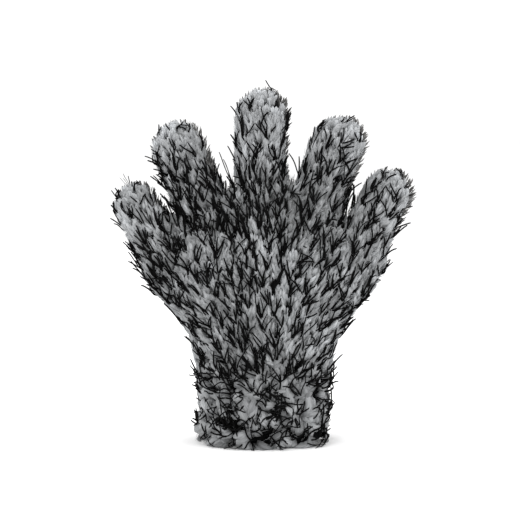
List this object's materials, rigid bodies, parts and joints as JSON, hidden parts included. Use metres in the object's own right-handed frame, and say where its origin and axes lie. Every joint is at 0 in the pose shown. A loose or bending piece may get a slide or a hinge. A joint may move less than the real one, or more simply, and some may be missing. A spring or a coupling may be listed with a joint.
{
  "type": "wash glove",
  "caption": "Five-finger microfibre wash glove with long two-tone pile, a lining and an elastic cuff, standing on its cuff.",
  "frame": {"origin": "middle of the cuff's lower edge, on the surface that the glove stands on", "axes": "+Z from the cuff to the fingertips, +Y from the palm side to the back of the hand, +X towards the little finger"},
  "size_m": [0.227, 0.0732, 0.266],
  "materials": {
    "front_pile": "long soft pile, pale tufts with black strands",
    "back_pile": "short dense pile, dark grey-brown",
    "lining": "soft knitted mesh",
    "seam": "overlocked seam allowance",
    "hem_tape": "woven binding tape",
    "elastic": "braided elastic",
    "thread": "polyester thread",
    "label": "blank woven label"
  },
  "bodies": {
    "cuff": {"cuff_front_pile": "front_pile", "cuff_back_pile": "back_pile", "cuff_lining": "lining", "cuff_side_seams": "seam", "cuff_hem": "hem_tape", "cuff_elastic": "elastic", "hem_stitching": "thread", "care_label": "label"},
    "palm": {"palm_front_pile": "front_pile", "palm_back_pile": "back_pile", "palm_lining": "lining", "palm_side_seams": "seam"},
    "thumb": {"thumb_front_pile": "front_pile", "thumb_back_pile": "back_pile", "thumb_lining": "lining", "thumb_seam": "seam"},
    "index": {"index_front_pile": "front_pile", "index_back_pile": "back_pile", "index_lining": "lining", "index_seam": "seam"},
    "middle": {"middle_front_pile": "front_pile", "middle_back_pile": "back_pile", "middle_lining": "lining", "middle_seam": "seam"},
    "ring": {"ring_front_pile": "front_pile", "ring_back_pile": "back_pile", "ring_lining": "lining", "ring_seam": "seam"},
    "little": {"little_front_pile": "front_pile", "little_back_pile": "back_pile", "little_lining": "lining", "little_seam": "seam"}
  },
  "joints": [
    {"name": "wrist_bend", "type": "hinge", "parent": "cuff", "child": "palm", "pos_m": [0, 0, 0.06], "axis": [1, 0, 0], "range_deg": [-30, 45]},
    {"name": "thumb_bend", "type": "hinge", "parent": "palm", "child": "thumb", "pos_m": [-0.0748, 0, 0.141], "axis": [0.8829, 0, 0.4695], "range_deg": [-20, 75]},
    {"name": "index_bend", "type": "hinge", "parent": "palm", "child": "index", "pos_m": [-0.048, 0, 0.1826], "axis": [0.9336, 0, 0.3584], "range_deg": [-20, 75]},
    {"name": "middle_bend", "type": "hinge", "parent": "palm", "child": "middle", "pos_m": [-0.002, 0, 0.2], "axis": [0.9997, 0, -0.0227], "range_deg": [-20, 75]},
    {"name": "ring_bend", "type": "hinge", "parent": "palm", "child": "ring", "pos_m": [0.0418, 0, 0.186], "axis": [0.9397, 0, -0.342], "range_deg": [-20, 75]},
    {"name": "little_bend", "type": "hinge", "parent": "palm", "child": "little", "pos_m": [0.0723, 0, 0.148], "axis": [0.8829, 0, -0.4695], "range_deg": [-20, 75]}
  ]
}
